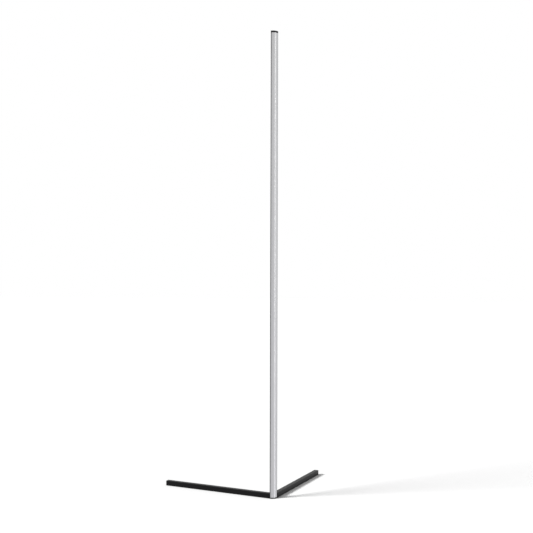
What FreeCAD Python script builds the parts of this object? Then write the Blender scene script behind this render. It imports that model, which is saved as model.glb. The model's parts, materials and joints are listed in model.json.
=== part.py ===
import FreeCAD, Part
import math
import os

# Corner floor lamp. Millimetres, +Z up. The origin is on the floor at the outer
# corner of the L, where the two walls of a room would meet. +X runs along one
# leg and +Y along the other.

# ---------------------------------------------------------------- dimensions
HEIGHT = 1420.0            # floor to the top of the cap
SECTION = 17.0             # side of the upright's quarter-round section
WALL = 2.3                 # flat walls of the extrusion
LIP_SET_BACK = 0.4         # the walls' front edges stand this far behind the cover's surface
PAD_T = 0.5                # foot pads
PLATE_T = 3.0              # base plate of the corner casting
CAP_T = 5.5                # visible thickness of the top cap

LEG_W = 15.0               # leg tube, square
LEG_WALL = 1.5
LEG_R = 1.2                # outside corner radius of the tube
LEG_X = 352.0              # tip of the leg along +X
LEG_Y = 384.0              # tip of the leg along +Y
PLUG_T = 3.0               # visible flange of an end plug

SHELF_BACK = 5.21          # shelf for the light strip, from the inner corner along the diagonal
SHELF_FRONT = 6.61
PORT = 12.1                # screw port axis, x and y
PORT_R = 1.68
PORT_BOSS_R = 2.9

COVER_T = 1.2              # opal cover
NOTCH_TOP = 14.1           # the extrusion's inside is milled away up to here

SPIGOT_END = 62.0          # how far each arm of the casting reaches from the corner
SPIGOT_LO = 1.7
SPIGOT_HI = 13.3
SPIGOT_Z0 = 2.2
SPIGOT_Z1 = 13.8

STRIP_W = 8.0
STRIP_T = 0.25
TAPE_T = 0.15
STRIP_Z0 = 21.0
LEAD_IN = 6.0              # bare end of the strip with the two solder pads
SEGMENT = 25.0             # one group of three light sources and a resistor
SEGMENTS = 55
LED_PER_SEGMENT = 3
LED_W, LED_H, LED_T = 2.8, 3.5, 0.7

WIRE_R = 0.6

SOCKET_BARREL_R = 4.0
SOCKET_FLANGE_R = 5.0
SOCKET_BORE_R = 2.85
SOCKET_PIN_R = 1.05
SOCKET_ROOT_R = 1.3        # the pin's shoulder, pressed into the socket

# ---------------------------------------------------------------- derived
Z_PLATE = PAD_T
Z_BODY = PAD_T + PLATE_T
Z_CAP = HEIGHT - CAP_T
LEG_Z0 = PAD_T
LEG_Z1 = PAD_T + LEG_W
LEG_MID_Z = PAD_T + LEG_W / 2
LEG_MID = LEG_W / 2
WIRE_Z = LEG_Z0 + 8.6      # height of the feed wires in the casting's channel
CHANNEL_Z = LEG_Z0 + 7.2   # floor of that channel
HEAD_TOP = Z_BODY - 0.25   # seat of the fixing screw's head, inside the plate
INNER = SECTION - WALL     # inner face of each flat wall
R2 = math.sqrt(2.0)


def V(x, y, z):
    return FreeCAD.Vector(x, y, z)


def block(x0, x1, y0, y1, z0, z1):
    return Part.makeBox(x1 - x0, y1 - y0, z1 - z0, V(x0, y0, z0))


def post(r, x, y, z0, z1):
    return Part.makeCylinder(r, z1 - z0, V(x, y, z0), V(0, 0, 1))


def rod_x(r, x0, x1, y, z):
    return Part.makeCylinder(r, x1 - x0, V(x0, y, z), V(1, 0, 0))


def prism(points, z0, z1):
    wire = Part.makePolygon([V(x, y, z0) for x, y in points] + [V(points[0][0], points[0][1], z0)])
    return Part.Face(wire).extrude(V(0, 0, z1 - z0))


def quarter(r, limit, z0, z1):
    """Part of a disc about the section's inner corner, cut off at x = limit and y = limit."""
    disc = post(r, SECTION, SECTION, z0, z1)
    return disc.common(block(-1.0, limit, -1.0, limit, z0 - 1.0, z1 + 1.0))


def mirrored(shape):
    """The same thing on the other leg: x and y change places."""
    return shape.mirror(V(0, 0, 0), V(1, -1, 0))


def diagonal(depth, across, z, w, t, h):
    """A plate facing the origin, its back at this depth from the inner corner."""
    plate = Part.makeBox(w, t, h, V(-w / 2 + across, 0, -h / 2))
    # turned so that its thickness points to the origin and its width lies across the diagonal
    plate.rotate(V(0, 0, 0), V(0, 0, 1), 135.0)
    c = INNER - depth / R2
    plate.translate(V(c, c, z))
    return plate


def edges_along(shape, axis, keep):
    """Straight edges parallel to an axis whose middle passes the test."""
    found = []
    for e in shape.Edges:
        if len(e.Vertexes) != 2:
            continue
        d = e.Vertexes[1].Point.sub(e.Vertexes[0].Point)
        if d.Length < 1e-6:
            continue
        if abs(abs(d.dot(axis)) / d.Length - 1) > 1e-6:
            continue
        m = e.Vertexes[0].Point.add(e.Vertexes[1].Point).multiply(0.5)
        if keep(m):
            found.append(e)
    return found


def cross_recess(x, y, z_face, depth, up, size=4.0, slot=0.95):
    z0, z1 = (z_face - depth, z_face + 0.2) if up else (z_face - 0.2, z_face + depth)
    a = block(x - size / 2, x + size / 2, y - slot / 2, y + slot / 2, z0, z1)
    b = block(x - slot / 2, x + slot / 2, y - size / 2, y + size / 2, z0, z1)
    return a.fuse(b)


def tube_along(points, radii, r):
    """A round wire along straight runs joined by tangent arcs."""
    pts = [V(*p) for p in points]
    edges = []
    length = 0.0
    start = pts[0]
    for i in range(1, len(pts) - 1):
        a, b, c = pts[i - 1], pts[i], pts[i + 1]
        u = a.sub(b)
        w = c.sub(b)
        u.normalize()
        w.normalize()
        between = math.acos(max(-1.0, min(1.0, u.dot(w))))
        turn = math.pi - between
        cut = radii[i - 1] * math.tan(turn / 2)
        p = b.add(V(u.x * cut, u.y * cut, u.z * cut))
        q = b.add(V(w.x * cut, w.y * cut, w.z * cut))
        bis = u.add(w)
        bis.normalize()
        to_mid = radii[i - 1] / math.cos(turn / 2) - radii[i - 1]
        m = b.add(V(bis.x * to_mid, bis.y * to_mid, bis.z * to_mid))
        edges.append(Part.LineSegment(start, p).toShape())
        edges.append(Part.Arc(p, m, q).toShape())
        length += p.sub(start).Length + radii[i - 1] * turn
        start = q
    edges.append(Part.LineSegment(start, pts[-1]).toShape())
    length += pts[-1].sub(start).Length
    path = Part.Wire(edges)
    first = pts[1].sub(pts[0])
    first.normalize()
    ring = Part.Wire([Part.Circle(pts[0], first, r).toShape()])
    solid = path.makePipeShell([ring], True, False)
    want = math.pi * r * r * length
    print("wire length %.1f volume %.2f expected %.2f" % (length, solid.Volume, want))
    return solid


parts = {}

# ---------------------------------------------------------------- upright
body = quarter(SECTION - LIP_SET_BACK, SECTION, Z_BODY, Z_CAP)
body = body.makeFillet(0.8, edges_along(body, V(0, 0, 1), lambda m: abs(m.x - SECTION) < 1e-3 and abs(m.y - SECTION) < 1e-3))
front = 2 * INNER - SHELF_FRONT * R2       # x + y on the front of the shelf
back = 2 * INNER - SHELF_BACK * R2         # x + y on its back
chamber = prism([(-2, -2), (INNER, -2), (INNER, front - INNER), (front - INNER, INNER), (-2, INNER)], Z_BODY - 1, Z_CAP + 1)
duct = prism([(INNER, back - INNER), (INNER, INNER), (back - INNER, INNER)], Z_BODY - 1, Z_CAP + 1)
boss = post(PORT_BOSS_R, PORT, PORT, Z_BODY, Z_CAP)
body = body.cut(chamber)
body = body.cut(duct)
body = body.fuse(boss).removeSplitter()
body = body.cut(post(PORT_R, PORT, PORT, Z_BODY - 1, Z_CAP + 1))
# grooves for the cover's snap legs
groove_x = block(INNER - 0.5, INNER + 0.45, 3.3, 4.3, Z_BODY - 1, Z_CAP + 1)
body = body.cut(groove_x)
body = body.cut(mirrored(groove_x))
# the foot is milled out for the casting's core and its two arms
body = body.cut(block(-1, INNER, -1, INNER, Z_BODY - 1, NOTCH_TOP))
arm_slot = block(INNER - 0.5, SECTION + 1, 1.5, 13.5, Z_BODY - 1, NOTCH_TOP)
body = body.cut(arm_slot)
body = body.cut(mirrored(arm_slot))
parts["upright_profile"] = body

# ---------------------------------------------------------------- opal cover
gap = 0.05
z0, z1 = Z_BODY + 0.1, Z_CAP - 0.1
shell = quarter(SECTION, INNER - gap, z0, z1).cut(post(SECTION - COVER_T, SECTION, SECTION, z0 - 1, z1 + 1))
leg = prism(
    [(INNER - 0.95, 0.9), (INNER - gap, 0.9), (INNER - gap, 3.45), (INNER + 0.35, 3.7), (INNER + 0.1, 4.15), (INNER - 0.5, 4.15), (INNER - 0.95, 3.7)],
    NOTCH_TOP + 0.6, z1,
)
cover = shell.fuse([leg, mirrored(leg)]).removeSplitter()
parts["diffuser_cover"] = cover

# ---------------------------------------------------------------- light strip
strip_h = LEAD_IN + SEGMENT * SEGMENTS
strip_mid = STRIP_Z0 + strip_h / 2
parts["led_strip_tape"] = diagonal(SHELF_FRONT, 0, strip_mid, STRIP_W - 0.4, TAPE_T, strip_h - 1.0)
board_back = SHELF_FRONT + TAPE_T
parts["led_strip_board"] = diagonal(board_back, 0, strip_mid, STRIP_W, STRIP_T, strip_h)
board_front = board_back + STRIP_T

leds, resistors = [], []
pitch = SEGMENT / LED_PER_SEGMENT
for s in range(SEGMENTS):
    base = STRIP_Z0 + LEAD_IN + s * SEGMENT
    for k in range(LED_PER_SEGMENT):
        z = base + pitch * (k + 0.5)
        led = diagonal(board_front, 0, z, LED_W, LED_T, LED_H)
        leds.append(led)
    resistors.append(diagonal(board_front, 2.9, base + pitch, 1.2, 0.45, 2.0))
parts["led_packages"] = Part.makeCompound(leds)
parts["strip_resistors"] = Part.makeCompound(resistors)

# ---------------------------------------------------------------- top cap
cap = quarter(SECTION, SECTION, Z_CAP, HEIGHT)
cap = cap.makeFillet(0.8, edges_along(cap, V(0, 0, 1), lambda m: abs(m.x - SECTION) < 1e-3 and abs(m.y - SECTION) < 1e-3))
tenon = quarter(15.4, INNER - 1.3, Z_CAP - 10.0, Z_CAP + 0.5)
tenon = tenon.cut(prism([(19.0 - 30, 30), (30, 19.0 - 30), (30, 30)], Z_CAP - 11, Z_CAP + 1))
cap = cap.fuse(tenon).removeSplitter()
cap = cap.cut(post(2.2, PORT, PORT, Z_CAP - 1, HEIGHT + 1))
cap = cap.cut(Part.makeCone(2.2, 3.95, 1.75, V(PORT, PORT, HEIGHT - 1.75), V(0, 0, 1)))
parts["top_cap"] = cap

head = Part.makeCone(2.0, 3.7, 1.7, V(PORT, PORT, HEIGHT - 1.85), V(0, 0, 1))
shank = post(2.0, PORT, PORT, Z_CAP + 0.05, HEIGHT - 1.85)
core = post(1.65, PORT, PORT, Z_CAP - 11.0, Z_CAP + 0.05)
screw = head.fuse([shank, core]).removeSplitter()
parts["top_cap_screw"] = screw.cut(cross_recess(PORT, PORT, HEIGHT - 0.15, 1.5, True))

# ---------------------------------------------------------------- corner casting
plate = quarter(SECTION, SECTION, Z_PLATE, Z_BODY)
plate = plate.makeFillet(0.8, edges_along(plate, V(0, 0, 1), lambda m: abs(m.x - SECTION) < 1e-3 and abs(m.y - SECTION) < 1e-3))
core = quarter(SECTION - COVER_T - 0.3, INNER - 0.25, Z_BODY - 0.5, NOTCH_TOP - 0.2)
arm = block(INNER - 0.6, SPIGOT_END, SPIGOT_LO, SPIGOT_HI, SPIGOT_Z0, SPIGOT_Z1)
arm = arm.makeChamfer(0.8, edges_along(arm, V(0, 1, 0), lambda m: m.x > SPIGOT_END - 0.1) + edges_along(arm, V(0, 0, 1), lambda m: m.x > SPIGOT_END - 0.1))
casting = plate.fuse([core, arm, mirrored(arm)]).removeSplitter()
# channel for the two feed wires, open upwards
casting = casting.cut(block(8.2, SPIGOT_END + 1, 5.2, 9.2, CHANNEL_Z, NOTCH_TOP + 1))
# screw up into the extrusion's port, its head sunk in the plate
casting = casting.cut(post(2.15, PORT, PORT, 0, NOTCH_TOP + 1))
casting = casting.cut(post(3.7, PORT, PORT, 0, HEAD_TOP + 0.05))
# threads for the leg screws
LEG_SCREWS = (30.0, 50.0)
for x in LEG_SCREWS:
    hole = post(2.04, x, LEG_MID, 0, LEG_Z0 + 6.4).fuse(post(2.3, x, LEG_MID, 0, LEG_Z0 + 2.0))
    casting = casting.cut(hole)
    casting = casting.cut(mirrored(hole))
parts["corner_casting"] = casting

head = post(3.45, PORT, PORT, Z_PLATE + 0.25, HEAD_TOP)
shank = post(2.0, PORT, PORT, HEAD_TOP, NOTCH_TOP - 0.1)
core = post(1.65, PORT, PORT, NOTCH_TOP - 0.1, 29.0)
screw = head.fuse([shank, core]).removeSplitter()
parts["upright_fixing_screw"] = screw.cut(cross_recess(PORT, PORT, Z_PLATE + 0.25, 1.6, False))


# ---------------------------------------------------------------- legs
def leg_tube(tip):
    x0, x1 = SECTION, tip - PLUG_T
    outer = block(x0, x1, 0, LEG_W, LEG_Z0, LEG_Z1)
    outer = outer.makeFillet(LEG_R, edges_along(outer, V(1, 0, 0), lambda m: True))
    inner = block(x0 - 1, x1 + 1, LEG_WALL, LEG_W - LEG_WALL, LEG_Z0 + LEG_WALL, LEG_Z1 - LEG_WALL)
    tube = outer.cut(inner)
    for x in LEG_SCREWS:
        tube = tube.cut(Part.makeCone(3.85, 2.3, 1.55, V(x, LEG_MID, LEG_Z0 - 0.001), V(0, 0, 1)))
    return tube


def leg_screw(x):
    head = Part.makeCone(3.7, 2.0, 1.7, V(x, LEG_MID, LEG_Z0 + 0.1), V(0, 0, 1))
    shank = post(2.0, x, LEG_MID, LEG_Z0 + 1.8, LEG_Z0 + 6.0)
    return head.fuse(shank).removeSplitter().cut(cross_recess(x, LEG_MID, LEG_Z0 + 0.1, 1.5, False))


def end_plug(tip):
    """Flange flush with the tube, and four corner posts inside it with a small barb each."""
    x0 = tip - PLUG_T
    flange = block(x0, tip, 0, LEG_W, LEG_Z0, LEG_Z1)
    flange = flange.makeFillet(LEG_R, edges_along(flange, V(1, 0, 0), lambda m: True))
    fingers = []
    for sy in (-1, 1):
        for sz in (-1, 1):
            a, b = sorted((LEG_MID + sy * 4.1, LEG_MID + sy * 5.9))
            c, d = sorted((LEG_MID_Z + sz * 4.1, LEG_MID_Z + sz * 5.9))
            fingers.append(block(x0 - 12.0, x0 + 0.5, a, b, c, d))
            fingers.append(block(x0 - 7.0, x0 - 6.0, a - (0.08 if sy < 0 else 0), b + (0.08 if sy > 0 else 0), c, d))
    return flange.fuse(fingers).removeSplitter()


parts["right_leg_tube"] = leg_tube(LEG_X)
parts["left_leg_tube"] = mirrored(leg_tube(LEG_Y))
parts["right_leg_screws"] = Part.makeCompound([leg_screw(x) for x in LEG_SCREWS])
parts["left_leg_screws"] = Part.makeCompound([mirrored(leg_screw(x)) for x in LEG_SCREWS])

plug = end_plug(LEG_X)
panel_x = LEG_X - PLUG_T
plug = plug.cut(rod_x(SOCKET_FLANGE_R + 0.1, LEG_X - 1.2, LEG_X + 1, LEG_MID, LEG_MID_Z))
plug = plug.cut(rod_x(SOCKET_BARREL_R + 0.05, panel_x - 1, LEG_X + 1, LEG_MID, LEG_MID_Z))
parts["right_leg_end_plug"] = plug

# the other plug closes its tube with a cross of ribs
blank = end_plug(LEG_Y)
xe = LEG_Y - PLUG_T
ribs = [block(xe - 10, xe + 0.5, LEG_MID - 0.6, LEG_MID + 0.6, LEG_MID_Z - 5.6, LEG_MID_Z + 5.6),
        block(xe - 10, xe + 0.5, LEG_MID - 5.6, LEG_MID + 5.6, LEG_MID_Z - 0.6, LEG_MID_Z + 0.6)]
parts["left_leg_end_plug"] = mirrored(blank.fuse(ribs).removeSplitter())

# ---------------------------------------------------------------- inlet in the tip of the +X leg
sx = LEG_X
barrel = rod_x(SOCKET_BARREL_R, sx - 14.0, sx - 0.5, LEG_MID, LEG_MID_Z)
flange = rod_x(SOCKET_FLANGE_R, sx - 1.2, sx, LEG_MID, LEG_MID_Z)
socket = barrel.fuse(flange).removeSplitter()
socket = socket.cut(rod_x(SOCKET_BORE_R, sx - 10.0, sx + 1, LEG_MID, LEG_MID_Z))
socket = socket.cut(rod_x(SOCKET_ROOT_R + 0.02, sx - 15.0, sx - 9, LEG_MID, LEG_MID_Z))
socket = socket.cut(block(sx - 15.0, sx - 4.0, LEG_MID - 1.1, LEG_MID + 1.1, LEG_MID_Z - 3.35, LEG_MID_Z - 2.5))
parts["dc_socket_body"] = socket

pin = rod_x(SOCKET_PIN_R, sx - 10.0, sx - 1.0, LEG_MID, LEG_MID_Z)
pin = pin.makeFillet(0.45, [e for e in pin.Edges if e.Curve.TypeId == "Part::GeomCircle" and abs(e.CenterOfMass.x - (sx - 1.0)) < 1e-3])
root = rod_x(SOCKET_ROOT_R, sx - 13.0, sx - 10.0, LEG_MID, LEG_MID_Z)
tag = rod_x(0.5, sx - 17.0, sx - 12.5, LEG_MID, LEG_MID_Z)
parts["dc_socket_centre_pin"] = pin.fuse([root, tag]).removeSplitter()

leaf = block(sx - 14.0, sx - 4.5, LEG_MID - 1.0, LEG_MID + 1.0, LEG_MID_Z - 3.2, LEG_MID_Z - 2.8)
leaf_tag = block(sx - 17.0, sx - 13.5, LEG_MID - 0.45, LEG_MID + 0.45, LEG_MID_Z - 3.2, LEG_MID_Z - 2.8)
parts["dc_socket_spring_contact"] = leaf.fuse(leaf_tag).removeSplitter()

hexagon = []
for i in range(6):
    a = math.radians(60 * i + 90)
    hexagon.append(V(sx - 5.25, LEG_MID + 5.77 * math.cos(a), LEG_MID_Z + 5.77 * math.sin(a)))
nut = Part.Face(Part.makePolygon(hexagon + [hexagon[0]])).extrude(V(2.2, 0, 0))
parts["dc_socket_nut"] = nut.cut(rod_x(SOCKET_BARREL_R + 0.03, sx - 8, sx, LEG_MID, LEG_MID_Z))

# ---------------------------------------------------------------- feed wires
off = 2.0
depth = board_front + WIRE_R + 0.03
c = INNER - depth / R2
pos_at = (c + off / R2, c - off / R2)
neg_at = (c - off / R2, c + off / R2)
floor_z = LEG_Z0 + LEG_WALL + WIRE_R + 0.05
wire_end = sx - 17.05
positive = [
    (pos_at[0], pos_at[1], 24.0),
    (pos_at[0], pos_at[1], WIRE_Z),
    (72.0, pos_at[1], WIRE_Z),
    (98.0, 8.5, floor_z),
    (wire_end - 36.0, 8.5, floor_z),
    (wire_end - 12.0, LEG_MID, LEG_MID_Z),
    (wire_end, LEG_MID, LEG_MID_Z),
]
negative = [
    (neg_at[0], neg_at[1], 24.0),
    (neg_at[0], neg_at[1], 21.0),
    (9.4, 6.3, 15.6),
    (9.4, 6.3, WIRE_Z),
    (72.0, 6.3, WIRE_Z),
    (98.0, 6.5, floor_z),
    (wire_end - 36.0, 6.5, floor_z),
    (wire_end - 12.0, LEG_MID, LEG_MID_Z - 3.0),
    (wire_end, LEG_MID, LEG_MID_Z - 3.0),
]
parts["positive_wire"] = tube_along(positive, [4.0, 30, 30, 30, 30], WIRE_R)
parts["negative_wire"] = tube_along(negative, [2.4, 2.2, 3.0, 30, 30, 30, 30], WIRE_R)

sleeves = []
for z in (LEG_MID_Z, LEG_MID_Z - 3.0):
    sleeves.append(rod_x(1.2, sx - 23.0, sx - 14.1, LEG_MID, z).cut(rod_x(0.68, sx - 24.0, sx - 14.0, LEG_MID, z)))
parts["wire_heat_shrink_sleeves"] = Part.makeCompound(sleeves)

joints = []
for (x, y) in (pos_at, neg_at):
    # a bead beside the stripped end, on the strip's pad
    bead = post(0.95, x, y, 24.05, 26.0)
    keep = prism([(2 * INNER - (board_front + 0.01) * R2 - 30, 30), (30, 2 * INNER - (board_front + 0.01) * R2 - 30), (-30, -30)], 20, 30)
    joints.append(bead.common(keep))
parts["strip_solder_joints"] = Part.makeCompound(joints)

# ---------------------------------------------------------------- pads
parts["corner_foot_pad"] = quarter(SECTION - 0.8, SECTION - 0.7, 0, PAD_T)


def leg_pad(tip):
    pad = block(tip - 34.0, tip - 6.0, 1.5, LEG_W - 1.5, 0, PAD_T)
    return pad.makeFillet(2.5, edges_along(pad, V(0, 0, 1), lambda m: True))


parts["right_leg_foot_pad"] = leg_pad(LEG_X)
parts["left_leg_foot_pad"] = mirrored(leg_pad(LEG_Y))

# ---------------------------------------------------------------- write
os.makedirs("parts", exist_ok=True)
for name, shape in parts.items():
    solids = shape.Solids
    ok = shape.isValid() and all(s.isClosed() and s.Volume > 0 for s in solids)
    print("%-28s solids %3d volume %10.1f valid %s" % (name, len(solids), sum(s.Volume for s in solids), ok))
    out = solids[0] if len(solids) == 1 else Part.makeCompound(solids)
    out.exportStep("parts/%s.step" % name)
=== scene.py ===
import json
import math

import bmesh
import bpy
from mathutils import Matrix, Vector

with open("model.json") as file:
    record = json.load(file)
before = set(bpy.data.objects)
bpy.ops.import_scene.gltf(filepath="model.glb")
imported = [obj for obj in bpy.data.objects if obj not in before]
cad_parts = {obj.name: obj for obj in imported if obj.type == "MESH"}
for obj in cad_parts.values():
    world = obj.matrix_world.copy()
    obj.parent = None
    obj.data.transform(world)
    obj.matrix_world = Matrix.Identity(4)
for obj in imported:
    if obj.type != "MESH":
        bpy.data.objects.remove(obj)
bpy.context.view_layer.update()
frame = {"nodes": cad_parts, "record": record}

NODES = frame["nodes"]
MM = 0.001

# ---------------------------------------------------------------- camera
ALPHA = math.radians(25.497)      # the view runs this far from +X towards +Y
PITCH = 0.022106
ROLL = 0.0026349
DISTANCE = 2.4496                 # level distance to the column
ASIDE = 0.026649
EYE = 0.64564
FOCAL_PX = 810.6               # focal length in pixels of a 533 pixel wide picture


def make_camera():
    ca, sa = math.cos(ALPHA), math.sin(ALPHA)
    cp, sp = math.cos(PITCH), math.sin(PITCH)
    place = Vector((-ASIDE * sa - DISTANCE * ca, ASIDE * ca - DISTANCE * sa, EYE))
    forward = Vector((ca * cp, sa * cp, sp))
    right = Vector((sa, -ca, 0.0))
    up = right.cross(forward)
    r = right * math.cos(ROLL) + up * math.sin(ROLL)
    u = up * math.cos(ROLL) - right * math.sin(ROLL)
    data = bpy.data.cameras.new("camera")
    data.sensor_fit = "HORIZONTAL"
    data.sensor_width = 36.0
    data.lens = FOCAL_PX / 533.0 * 36.0
    data.clip_start = 0.01
    data.clip_end = 60.0
    cam = bpy.data.objects.new("camera", data)
    m = Matrix((r, u, -forward)).transposed().to_4x4()
    m.translation = place
    cam.matrix_world = m
    bpy.context.scene.collection.objects.link(cam)
    bpy.context.scene.camera = cam
    return cam


make_camera()
scene = bpy.context.scene
scene.view_settings.view_transform = "Standard"
scene.view_settings.look = "None"
scene.view_settings.exposure = 0.0
scene.view_settings.gamma = 1.0


# ---------------------------------------------------------------- node helpers
class Mat:
    """A node material written down step by step. Coordinates are the row frame's, in metres."""

    def __init__(self, name):
        self.m = bpy.data.materials.new(name)
        self.m.use_nodes = True
        self.nt = self.m.node_tree
        self.nt.nodes.clear()
        self.out = self.nt.nodes.new("ShaderNodeOutputMaterial")
        self.b = self.nt.nodes.new("ShaderNodeBsdfPrincipled")
        self.nt.links.new(self.b.outputs[0], self.out.inputs[0])
        self.co = self.nt.nodes.new("ShaderNodeTexCoord").outputs["Object"]

    def put(self, socket, value):
        if isinstance(value, bpy.types.NodeSocket):
            self.nt.links.new(value, socket)
        else:
            socket.default_value = value

    def set(self, name, value):
        self.put(self.b.inputs[name], value)
        return self

    def scaled(self, scale, turn=(0, 0, 0), shift=(0, 0, 0)):
        n = self.nt.nodes.new("ShaderNodeMapping")
        n.inputs["Scale"].default_value = scale
        n.inputs["Rotation"].default_value = turn
        n.inputs["Location"].default_value = shift
        self.nt.links.new(self.co, n.inputs["Vector"])
        return n.outputs[0]

    def noise(self, scale, detail=3.0, rough=0.55, distortion=0.0, turn=(0, 0, 0), shift=(0, 0, 0)):
        if not isinstance(scale, tuple):
            scale = (scale, scale, scale)
        n = self.nt.nodes.new("ShaderNodeTexNoise")
        n.inputs["Scale"].default_value = 1.0
        n.inputs["Detail"].default_value = detail
        n.inputs["Roughness"].default_value = rough
        n.inputs["Distortion"].default_value = distortion
        self.nt.links.new(self.scaled(scale, turn, shift), n.inputs["Vector"])
        return n.outputs[0]

    def cells(self, scale, randomness=1.0, feature="F1"):
        if not isinstance(scale, tuple):
            scale = (scale, scale, scale)
        n = self.nt.nodes.new("ShaderNodeTexVoronoi")
        n.feature = feature
        n.inputs["Scale"].default_value = 1.0
        n.inputs["Randomness"].default_value = randomness
        self.nt.links.new(self.scaled(scale), n.inputs["Vector"])
        return n.outputs["Distance"]

    def ramp(self, value, a, b, lo=0.0, hi=1.0, smooth=True):
        n = self.nt.nodes.new("ShaderNodeMapRange")
        n.interpolation_type = "SMOOTHSTEP" if smooth else "LINEAR"
        self.put(n.inputs["Value"], value)
        n.inputs["From Min"].default_value = a
        n.inputs["From Max"].default_value = b
        n.inputs["To Min"].default_value = lo
        n.inputs["To Max"].default_value = hi
        return n.outputs[0]

    def math(self, op, a, b=0.0, c=0.0):
        n = self.nt.nodes.new("ShaderNodeMath")
        n.operation = op
        self.put(n.inputs[0], a)
        self.put(n.inputs[1], b)
        if op in ("MULTIPLY_ADD", "WRAP", "COMPARE"):
            self.put(n.inputs[2], c)
        return n.outputs[0]

    def axis(self, name):
        n = self.nt.nodes.new("ShaderNodeSeparateXYZ")
        self.nt.links.new(self.co, n.inputs[0])
        return n.outputs[name]

    def colour(self, fac, c0, c1):
        n = self.nt.nodes.new("ShaderNodeMix")
        n.data_type = "RGBA"
        self.put(n.inputs[0], fac)
        for socket, c in ((n.inputs[6], c0), (n.inputs[7], c1)):
            if isinstance(c, bpy.types.NodeSocket):
                self.nt.links.new(c, socket)
            else:
                socket.default_value = (*c, 1.0)
        return n.outputs[2]

    def bump(self, height, depth_mm, strength=1.0, below=None):
        n = self.nt.nodes.new("ShaderNodeBump")
        n.inputs["Strength"].default_value = strength
        n.inputs["Distance"].default_value = depth_mm * MM
        self.nt.links.new(height, n.inputs["Height"])
        if below is not None:
            self.nt.links.new(below, n.inputs["Normal"])
        return n.outputs[0]

    def edge_of_bar(self, along, half, centre_a, centre_b, width):
        """1 on the four long edges of a square bar, 0 away from them. along is the bar's axis."""
        names = [n for n in "XYZ" if n != along]
        da = self.math("ABSOLUTE", self.math("SUBTRACT", self.axis(names[0]), centre_a))
        db = self.math("ABSOLUTE", self.math("SUBTRACT", self.axis(names[1]), centre_b))
        return self.ramp(self.math("MINIMUM", da, db), half - width, half - 0.0002)


SLOTS = {}


def slot_material(slot):
    """Decorator: the function writes the material of one slot."""
    def keep(make):
        m = Mat("mat_" + slot)
        make(m)
        SLOTS[slot] = m.m
        return make
    return keep


def lengthwise(axis, across, along):
    return tuple(along if n == axis else across for n in "XYZ")


# ---------------------------------------------------------------- materials
@slot_material("opal_cover")
def _(m):
    slow = m.noise((60, 60, 3.2), 2.0)
    flow = m.noise((900, 900, 1.6), 2.0, 0.5)
    haze = m.noise((260, 260, 60), 4.0, 0.6)
    # slightly cooler low down and neutral towards the top
    height = m.ramp(m.axis("Z"), 0.2, 1.42, smooth=False)
    tone = m.colour(height, (0.345, 0.345, 0.362), (0.352, 0.352, 0.356))
    tone = m.colour(m.ramp(slow, 0.35, 0.65, 0.0, 0.5), tone, (0.366, 0.366, 0.376))
    tone = m.colour(m.ramp(flow, 0.42, 0.70, 0.0, 0.35), tone, (0.331, 0.331, 0.341))
    # a trace of floor dust near the foot
    dust = m.math("MULTIPLY", m.ramp(m.axis("Z"), 0.16, 0.0), m.ramp(haze, 0.45, 0.75))
    tone = m.colour(m.math("MULTIPLY", dust, 0.18), tone, (0.31, 0.30, 0.285))
    rough = m.ramp(haze, 0.3, 0.7, 0.19, 0.26)
    fine = m.bump(flow, 0.012, 0.5)
    m.set("Base Color", tone).set("Roughness", rough).set("Normal", m.bump(haze, 0.006, 0.6, fine))
    m.set("Specular IOR Level", 0.80)
    m.set("Subsurface Weight", 0.12)
    m.b.inputs["Subsurface Radius"].default_value = (1.0, 1.0, 1.0)
    m.b.inputs["Subsurface Scale"].default_value = 0.0012


@slot_material("black_anodised")
def _(m):
    die = m.noise((5200, 5200, 3.0), 2.0, 0.6)
    cloud = m.noise((120, 120, 14), 3.0)
    grain = m.noise(9000, 2.0)
    tone = m.colour(m.ramp(die, 0.3, 0.7), (0.0070, 0.0070, 0.0076), (0.0115, 0.0115, 0.0122))
    tone = m.colour(m.ramp(cloud, 0.5, 0.8, 0.0, 0.3), tone, (0.016, 0.016, 0.017))
    rough = m.math("ADD", m.ramp(die, 0.2, 0.8, 0.30, 0.42), m.ramp(cloud, 0.3, 0.8, 0.0, 0.06))
    m.set("Base Color", tone).set("Roughness", rough).set("Metallic", 0.0)
    m.set("Specular IOR Level", 0.22)
    m.set("Normal", m.bump(grain, 0.004, 0.5, m.bump(die, 0.010, 0.7)))


# shade scales the coat's whole colour down: painted shade, so one leg can show the same paint drawn darker
def powder(m, along, painted_shade=1.0, gloss=0.17):
    peel = m.noise(1150, 3.0, 0.5)
    coarse = m.noise(420, 2.0)
    grain = m.noise(lengthwise(along, 2600, 26), 2.0)
    scuff = m.noise(lengthwise(along, 900, 60), 4.0, 0.7, 0.3)
    deep, pale = [v * painted_shade for v in (0.0052, 0.0052, 0.0056)], [v * painted_shade for v in (0.0088, 0.0088, 0.0093)]
    tone = m.colour(m.ramp(peel, 0.3, 0.7), deep, pale)
    tone = m.colour(m.ramp(scuff, 0.66, 0.80, 0.0, 0.35), tone, (0.022, 0.022, 0.023))
    other = 7.5 * MM
    names = [n for n in "XYZ" if n != along]
    centres = [other if n != "Z" else 8.0 * MM for n in names]
    edge = m.edge_of_bar(along, 7.5 * MM, centres[0], centres[1], 1.4 * MM)
    worn = m.math("MULTIPLY", edge, m.ramp(scuff, 0.45, 0.72))
    tone = m.colour(m.math("MULTIPLY", worn, 0.45), tone, (0.030, 0.030, 0.031))
    rough = m.math("SUBTRACT", m.ramp(coarse, 0.3, 0.7, 0.40, 0.52), m.math("MULTIPLY", worn, 0.10))
    m.set("Base Color", tone).set("Roughness", rough)
    m.set("Specular IOR Level", gloss)
    m.set("Normal", m.bump(grain, 0.006, 0.5, m.bump(peel, 0.030, 0.55)))


@slot_material("black_powder_coat")
def _(m):
    powder(m, "X")


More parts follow.
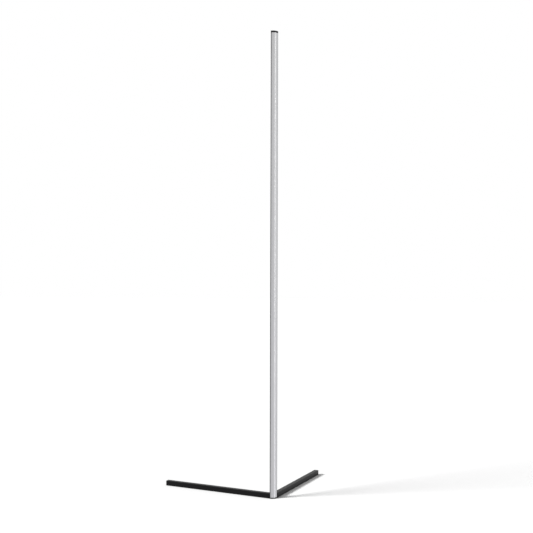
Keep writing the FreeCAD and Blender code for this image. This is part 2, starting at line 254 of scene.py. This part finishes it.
# the left leg takes the same powder coat with its colour scaled to 0.7 and less gloss: painted shade, not a different
# paint
LEFT_LEG_SHADED = Mat("mat_black_powder_coat_y_painted_shade")
powder(LEFT_LEG_SHADED, "Y", 0.7, 0.12)


@slot_material("black_coated_metal")
def _(m):
    peel = m.noise(1500, 3.0, 0.55)
    cast = m.noise(260, 3.0)
    tone = m.colour(m.ramp(peel, 0.3, 0.7), (0.0060, 0.0060, 0.0064), (0.0105, 0.0105, 0.0110))
    tone = m.colour(m.ramp(cast, 0.55, 0.8, 0.0, 0.4), tone, (0.018, 0.018, 0.019))
    m.set("Base Color", tone).set("Roughness", m.ramp(cast, 0.3, 0.7, 0.40, 0.52))
    m.set("Specular IOR Level", 0.22)
    m.set("Normal", m.bump(cast, 0.03, 0.4, m.bump(peel, 0.030, 0.7)))


@slot_material("black_plastic")
def _(m):
    spark = m.noise(4200, 3.0, 0.6)
    sink = m.noise(170, 2.0)
    tone = m.colour(m.ramp(spark, 0.3, 0.7), (0.0075, 0.0075, 0.0078), (0.0125, 0.0125, 0.0130))
    tone = m.colour(m.ramp(sink, 0.5, 0.8, 0.0, 0.3), tone, (0.017, 0.017, 0.017))
    m.set("Base Color", tone).set("Roughness", m.ramp(spark, 0.3, 0.7, 0.48, 0.60))
    m.set("Specular IOR Level", 0.30)
    m.set("Normal", m.bump(sink, 0.02, 0.4, m.bump(spark, 0.015, 0.8)))


@slot_material("rubber_pad")
def _(m):
    grain = m.noise(2600, 4.0, 0.65)
    dust = m.noise(330, 4.0, 0.6)
    tone = m.colour(m.ramp(grain, 0.3, 0.7), (0.012, 0.012, 0.012), (0.022, 0.022, 0.022))
    tone = m.colour(m.ramp(dust, 0.55, 0.8, 0.0, 0.35), tone, (0.07, 0.068, 0.065))
    m.set("Base Color", tone).set("Roughness", m.ramp(dust, 0.3, 0.7, 0.78, 0.92))
    m.set("Specular IOR Level", 0.30)
    m.set("Normal", m.bump(grain, 0.04, 0.8))


@slot_material("black_screw")
def _(m):
    oxide = m.noise(1800, 3.0, 0.6)
    turned = m.noise((3000, 3000, 9000), 2.0)
    tone = m.colour(m.ramp(oxide, 0.35, 0.7), (0.020, 0.020, 0.022), (0.045, 0.044, 0.044))
    m.set("Base Color", tone).set("Roughness", m.ramp(oxide, 0.3, 0.7, 0.30, 0.46)).set("Metallic", 0.65)
    m.set("Normal", m.bump(turned, 0.006, 0.7))


@slot_material("plated_steel")
def _(m):
    bloom = m.noise(900, 3.0, 0.6)
    tone = m.colour(m.ramp(bloom, 0.3, 0.7), (0.50, 0.50, 0.52), (0.62, 0.62, 0.62))
    m.set("Base Color", tone).set("Roughness", m.ramp(bloom, 0.3, 0.7, 0.26, 0.40)).set("Metallic", 1.0)
    m.set("Normal", m.bump(m.noise(5000, 2.0), 0.004, 0.7))


@slot_material("nickel_contact")
def _(m):
    rub = m.noise((260, 4000, 4000), 2.0)
    tone = m.colour(m.ramp(rub, 0.3, 0.7), (0.58, 0.55, 0.50), (0.70, 0.68, 0.63))
    m.set("Base Color", tone).set("Roughness", m.ramp(rub, 0.3, 0.7, 0.16, 0.28)).set("Metallic", 1.0)
    m.set("Normal", m.bump(rub, 0.003, 0.6))


@slot_material("strip_board")
def _(m):
    # white solder mask, with a copper pad and a cut line every 25 mm
    z = m.math("SUBTRACT", m.axis("Z"), 0.027)
    step = m.math("ABSOLUTE", m.math("SUBTRACT", m.math("WRAP", z, 0.0125, -0.0125), 0.0))
    pad = m.ramp(step, 0.0022, 0.0018)
    cut = m.ramp(step, 0.00018, 0.00008)
    across = m.math("ABSOLUTE", m.math("SUBTRACT", m.axis("X"), m.axis("Y")))
    band = m.math("MULTIPLY", m.ramp(across, 0.0013, 0.0015), m.ramp(across, 0.0050, 0.0046))
    ink = m.noise(1500, 3.0)
    tone = m.colour(m.ramp(ink, 0.3, 0.7), (0.76, 0.76, 0.74), (0.82, 0.82, 0.80))
    tone = m.colour(m.math("MULTIPLY", pad, band), tone, (0.70, 0.42, 0.20))
    tone = m.colour(cut, tone, (0.10, 0.10, 0.10))
    m.set("Base Color", tone).set("Roughness", m.ramp(ink, 0.3, 0.7, 0.42, 0.55))
    m.set("Normal", m.bump(ink, 0.01, 0.5))


@slot_material("strip_tape")
def _(m):
    fibre = m.noise((3000, 3000, 300), 3.0)
    m.set("Base Color", m.colour(fibre, (0.46, 0.46, 0.43), (0.60, 0.60, 0.57)))
    m.set("Roughness", m.ramp(fibre, 0.3, 0.7, 0.6, 0.75)).set("Normal", m.bump(fibre, 0.01, 0.6))


@slot_material("led_package")
def _(m):
    gel = m.noise(2200, 3.0)
    m.set("Base Color", m.colour(m.ramp(gel, 0.3, 0.7), (0.74, 0.60, 0.22), (0.84, 0.74, 0.36)))
    m.set("Roughness", m.ramp(gel, 0.3, 0.7, 0.22, 0.34)).set("Normal", m.bump(gel, 0.01, 0.5))


@slot_material("resistor")
def _(m):
    chip = m.noise(3500, 3.0)
    m.set("Base Color", m.colour(chip, (0.025, 0.025, 0.026), (0.055, 0.055, 0.055)))
    m.set("Roughness", m.ramp(chip, 0.3, 0.7, 0.4, 0.55)).set("Normal", m.bump(chip, 0.01, 0.6))


@slot_material("solder")
def _(m):
    tin = m.noise(1900, 3.0)
    m.set("Base Color", m.colour(tin, (0.52, 0.52, 0.52), (0.70, 0.70, 0.69))).set("Metallic", 1.0)
    m.set("Roughness", m.ramp(tin, 0.3, 0.7, 0.20, 0.38)).set("Normal", m.bump(tin, 0.02, 0.6))


@slot_material("red_wire")
def _(m):
    skin = m.noise(1400, 3.0)
    m.set("Base Color", m.colour(skin, (0.36, 0.020, 0.018), (0.50, 0.040, 0.034)))
    m.set("Roughness", m.ramp(skin, 0.3, 0.7, 0.42, 0.55)).set("Normal", m.bump(skin, 0.01, 0.5))


@slot_material("black_wire")
def _(m):
    skin = m.noise(1400, 3.0)
    m.set("Base Color", m.colour(skin, (0.016, 0.016, 0.016), (0.030, 0.030, 0.030)))
    m.set("Roughness", m.ramp(skin, 0.3, 0.7, 0.42, 0.55)).set("Normal", m.bump(skin, 0.01, 0.5))


@slot_material("black_sleeve")
def _(m):
    shrink = m.noise((500, 2200, 2200), 3.0)
    m.set("Base Color", m.colour(shrink, (0.014, 0.014, 0.014), (0.034, 0.034, 0.034)))
    m.set("Roughness", m.ramp(shrink, 0.3, 0.7, 0.5, 0.68)).set("Normal", m.bump(shrink, 0.02, 0.6))


# ---------------------------------------------------------------- the CAD nodes
slot_of = {p["node"]: p["material_slot"] for p in frame["record"]["subparts"]}
for name, ob in NODES.items():
    # the left leg tube gets the darker painted-shade copy of the powder coat
    made = LEFT_LEG_SHADED.m if name == "left_leg_tube" else SLOTS[slot_of[name]]
    if not ob.material_slots:
        ob.data.materials.append(made)
    for s in ob.material_slots:
        s.material = made


def soften(name, width_mm, segments=2, angle=38):
    """Broken edges: the corners are welded, then rounded by this much."""
    ob = NODES[name]
    w = ob.modifiers.new("weld", "WELD")
    w.merge_threshold = 1e-6
    b = ob.modifiers.new("bevel", "BEVEL")
    b.width = width_mm * MM
    b.segments = segments
    b.limit_method = "ANGLE"
    b.angle_limit = math.radians(angle)
    b.use_clamp_overlap = True
    b.harden_normals = True
    return ob


for name, width in (("upright_profile", 0.15), ("top_cap", 0.35), ("corner_casting", 0.2), ("right_leg_end_plug", 0.3),
                    ("left_leg_end_plug", 0.3), ("dc_socket_body", 0.15), ("corner_foot_pad", 0.15),
                    ("right_leg_foot_pad", 0.2), ("left_leg_foot_pad", 0.2)):
    soften(name, width)


# ---------------------------------------------------------------- floor and light
def make_floor():
    me = bpy.data.meshes.new("floor")
    bm = bmesh.new()
    bmesh.ops.create_grid(bm, x_segments=1, y_segments=1, size=30.0)
    bm.to_mesh(me)
    bm.free()
    ob = bpy.data.objects.new("floor", me)
    bpy.context.scene.collection.objects.link(ob)
    m = Mat("mat_floor")
    fine = m.noise(40, 2.0)
    m.set("Base Color", m.colour(fine, (0.269, 0.269, 0.269), (0.271, 0.271, 0.271)))
    m.set("Roughness", 0.9)
    m.set("Specular IOR Level", 0.0)
    me.materials.append(m.m)
    return ob


floor = make_floor()

world = bpy.data.worlds.new("studio")
scene.world = world
world.use_nodes = True
world.node_tree.nodes["Background"].inputs["Color"].default_value = (1.0, 1.0, 1.0, 1.0)
world.node_tree.nodes["Background"].inputs["Strength"].default_value = 1.0


def receivers(name, objects):
    c = bpy.data.collections.new(name)
    for o in objects:
        c.objects.link(o)
    return c


# the large key light that draws the long shadow on the floor, on the left and a little in front
view_right = Vector((math.sin(ALPHA), -math.cos(ALPHA), 0))
view_deep = Vector((math.cos(ALPHA), math.sin(ALPHA), 0))
SHADOW_TURN = math.radians(19.5)
shadow_dir = view_right * math.cos(SHADOW_TURN) + view_deep * math.sin(SHADOW_TURN)
KEY_HEIGHT = math.radians(32.0)
to_key = -shadow_dir * math.cos(KEY_HEIGHT) + Vector((0, 0, math.sin(KEY_HEIGHT)))
key_data = bpy.data.lights.new("key", "SUN")
key_data.angle = math.radians(18.0)
key_data.energy = 16.3
key = bpy.data.objects.new("key", key_data)
key.rotation_euler = to_key.to_track_quat("Z", "Y").to_euler()
key.location = to_key * 4
scene.collection.objects.link(key)
key.light_linking.receiver_collection = receivers("key_receivers", [floor])

# a low, faint fill along the right leg, which lifts the darkest part of the shadow beside it
fill_data = bpy.data.lights.new("fill", "AREA")
fill_data.shape = "RECTANGLE"
fill_data.size = 0.40
fill_data.size_y = 0.04
fill_data.energy = 0.075
fill = bpy.data.objects.new("fill", fill_data)
fill.location = (0.20, -0.03, 0.08)
scene.collection.objects.link(fill)
fill.light_linking.receiver_collection = receivers("fill_receivers", [floor])

# a tall soft box on the right in front, for the black parts
SOFT_TURN = math.radians(43.4)
to_soft = -view_deep * math.cos(SOFT_TURN) + view_right * math.sin(SOFT_TURN)
soft_data = bpy.data.lights.new("softbox", "AREA")
soft_data.shape = "RECTANGLE"
soft_data.size = 0.7
soft_data.size_y = 2.0
soft_data.energy = 16
soft = bpy.data.objects.new("softbox", soft_data)
soft.location = to_soft * 2.6 + Vector((0, 0, 1.3))
soft.rotation_euler = to_soft.to_track_quat("Z", "Y").to_euler()
scene.collection.objects.link(soft)
soft.light_linking.receiver_collection = receivers("softbox_receivers", [o for n, o in NODES.items() if n != "diffuser_cover"])

# a narrow strip light that draws the bright line down the opal cover, leaning so that the line drifts right
# towards the foot; only the lamp itself shades it, so that the line runs on down to the floor
STRIP_TURN = math.radians(50.5)
to_strip = -view_deep * math.cos(STRIP_TURN) + view_right * math.sin(STRIP_TURN)
strip_data = bpy.data.lights.new("strip", "AREA")
strip_data.shape = "RECTANGLE"
strip_data.size = 0.3
strip_data.size_y = 3.8
strip_data.energy = 50
strip = bpy.data.objects.new("strip", strip_data)
strip.location = to_strip * 2.6 + Vector((0, 0, 0.75))
strip.rotation_euler = (to_strip.to_track_quat("Z", "Y").to_matrix() @ Matrix.Rotation(math.radians(7.0), 3, "Z")).to_euler()
scene.collection.objects.link(strip)
strip.light_linking.receiver_collection = receivers("strip_receivers", [NODES["diffuser_cover"]])
strip.light_linking.blocker_collection = receivers("strip_blockers", list(NODES.values()))
